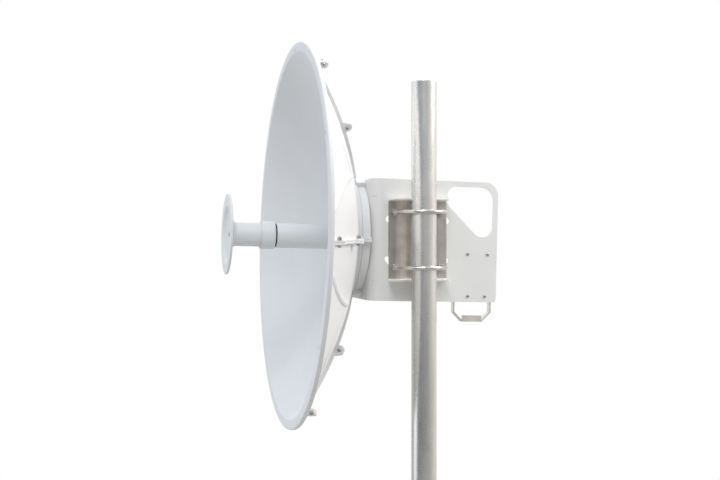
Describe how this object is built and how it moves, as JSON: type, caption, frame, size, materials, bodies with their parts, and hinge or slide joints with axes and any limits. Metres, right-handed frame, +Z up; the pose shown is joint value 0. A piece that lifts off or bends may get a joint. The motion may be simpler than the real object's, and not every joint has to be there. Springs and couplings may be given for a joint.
{
  "type": "satellite dish",
  "caption": "Satellite dish of bolted petals with a splash-plate feed on a hub drum, L-shaped bracket and U-bolt mast clamp with elevation slots.",
  "frame": {"origin": "on the axis of the mast, midway between the two U-bolts, which is where the elevation axis crosses it", "axes": "+Z up along the mast, -Y the way the dish looks, +X from the dish's axis towards the mast"},
  "size_m": [0.76, 0.523, 0.7599],
  "materials": {
    "reflector_plastic": "satin",
    "drum_paint": "satin",
    "bracket_paint": "satin",
    "feed_paint": "satin",
    "sub_reflector_paint": "satin",
    "feed_dielectric": "satin",
    "seal_rubber": "matte",
    "channel_steel": "satin",
    "zinc_rod": "satin",
    "zinc_fasteners": "satin",
    "dish_fasteners": "satin",
    "cast_aluminium": "matte",
    "connector_nickel": "satin",
    "connector_brass": "satin",
    "holder_steel": "satin"
  },
  "bodies": {
    "clamp": {"clamp_channel": "channel_steel", "u_bolt_upper": "zinc_rod", "u_bolt_lower": "zinc_rod", "clamp_jam_nuts": "zinc_fasteners", "clamp_washers": "zinc_fasteners", "clamp_nuts": "zinc_fasteners"},
    "dish": {"petal_1": "reflector_plastic", "petal_2": "reflector_plastic", "petal_3": "reflector_plastic", "petal_4": "reflector_plastic", "petal_5": "reflector_plastic", "petal_6": "reflector_plastic", "seam_bolts": "dish_fasteners", "seam_washers": "dish_fasteners", "seam_nuts": "dish_fasteners", "petal_bolts": "dish_fasteners", "petal_nuts": "dish_fasteners", "hub_drum": "drum_paint", "bracket_plate": "bracket_paint", "bracket_bolts": "zinc_fasteners", "bracket_washers": "zinc_fasteners", "bracket_nuts": "zinc_fasteners", "feed_plate": "drum_paint", "feed_plate_bolts": "dish_fasteners", "feed_plate_nuts": "dish_fasteners", "feed_rear_tube": "feed_paint", "feed_flange": "feed_paint", "feed_flange_screws": "dish_fasteners", "feed_seal": "seal_rubber", "feed_collar": "feed_paint", "feed_front_tube": "feed_paint", "feed_plug": "feed_dielectric", "sub_reflector": "sub_reflector_paint", "sub_reflector_screw": "dish_fasteners", "transition_body": "cast_aluminium", "transition_cap": "cast_aluminium", "transition_screws": "dish_fasteners", "connector_shells": "connector_nickel", "connector_insulators": "feed_dielectric", "connector_contacts": "connector_brass", "radio_saddle": "holder_steel", "radio_stirrup": "holder_steel", "plate_screws": "dish_fasteners", "plate_screw_nuts": "dish_fasteners"}
  },
  "joints": [
    {"name": "elevation", "type": "hinge", "parent": "clamp", "child": "dish", "pos_m": [0, 0, 0], "axis": [-1, 0, 0], "range_deg": [-16.5, 13.5]}
  ]
}
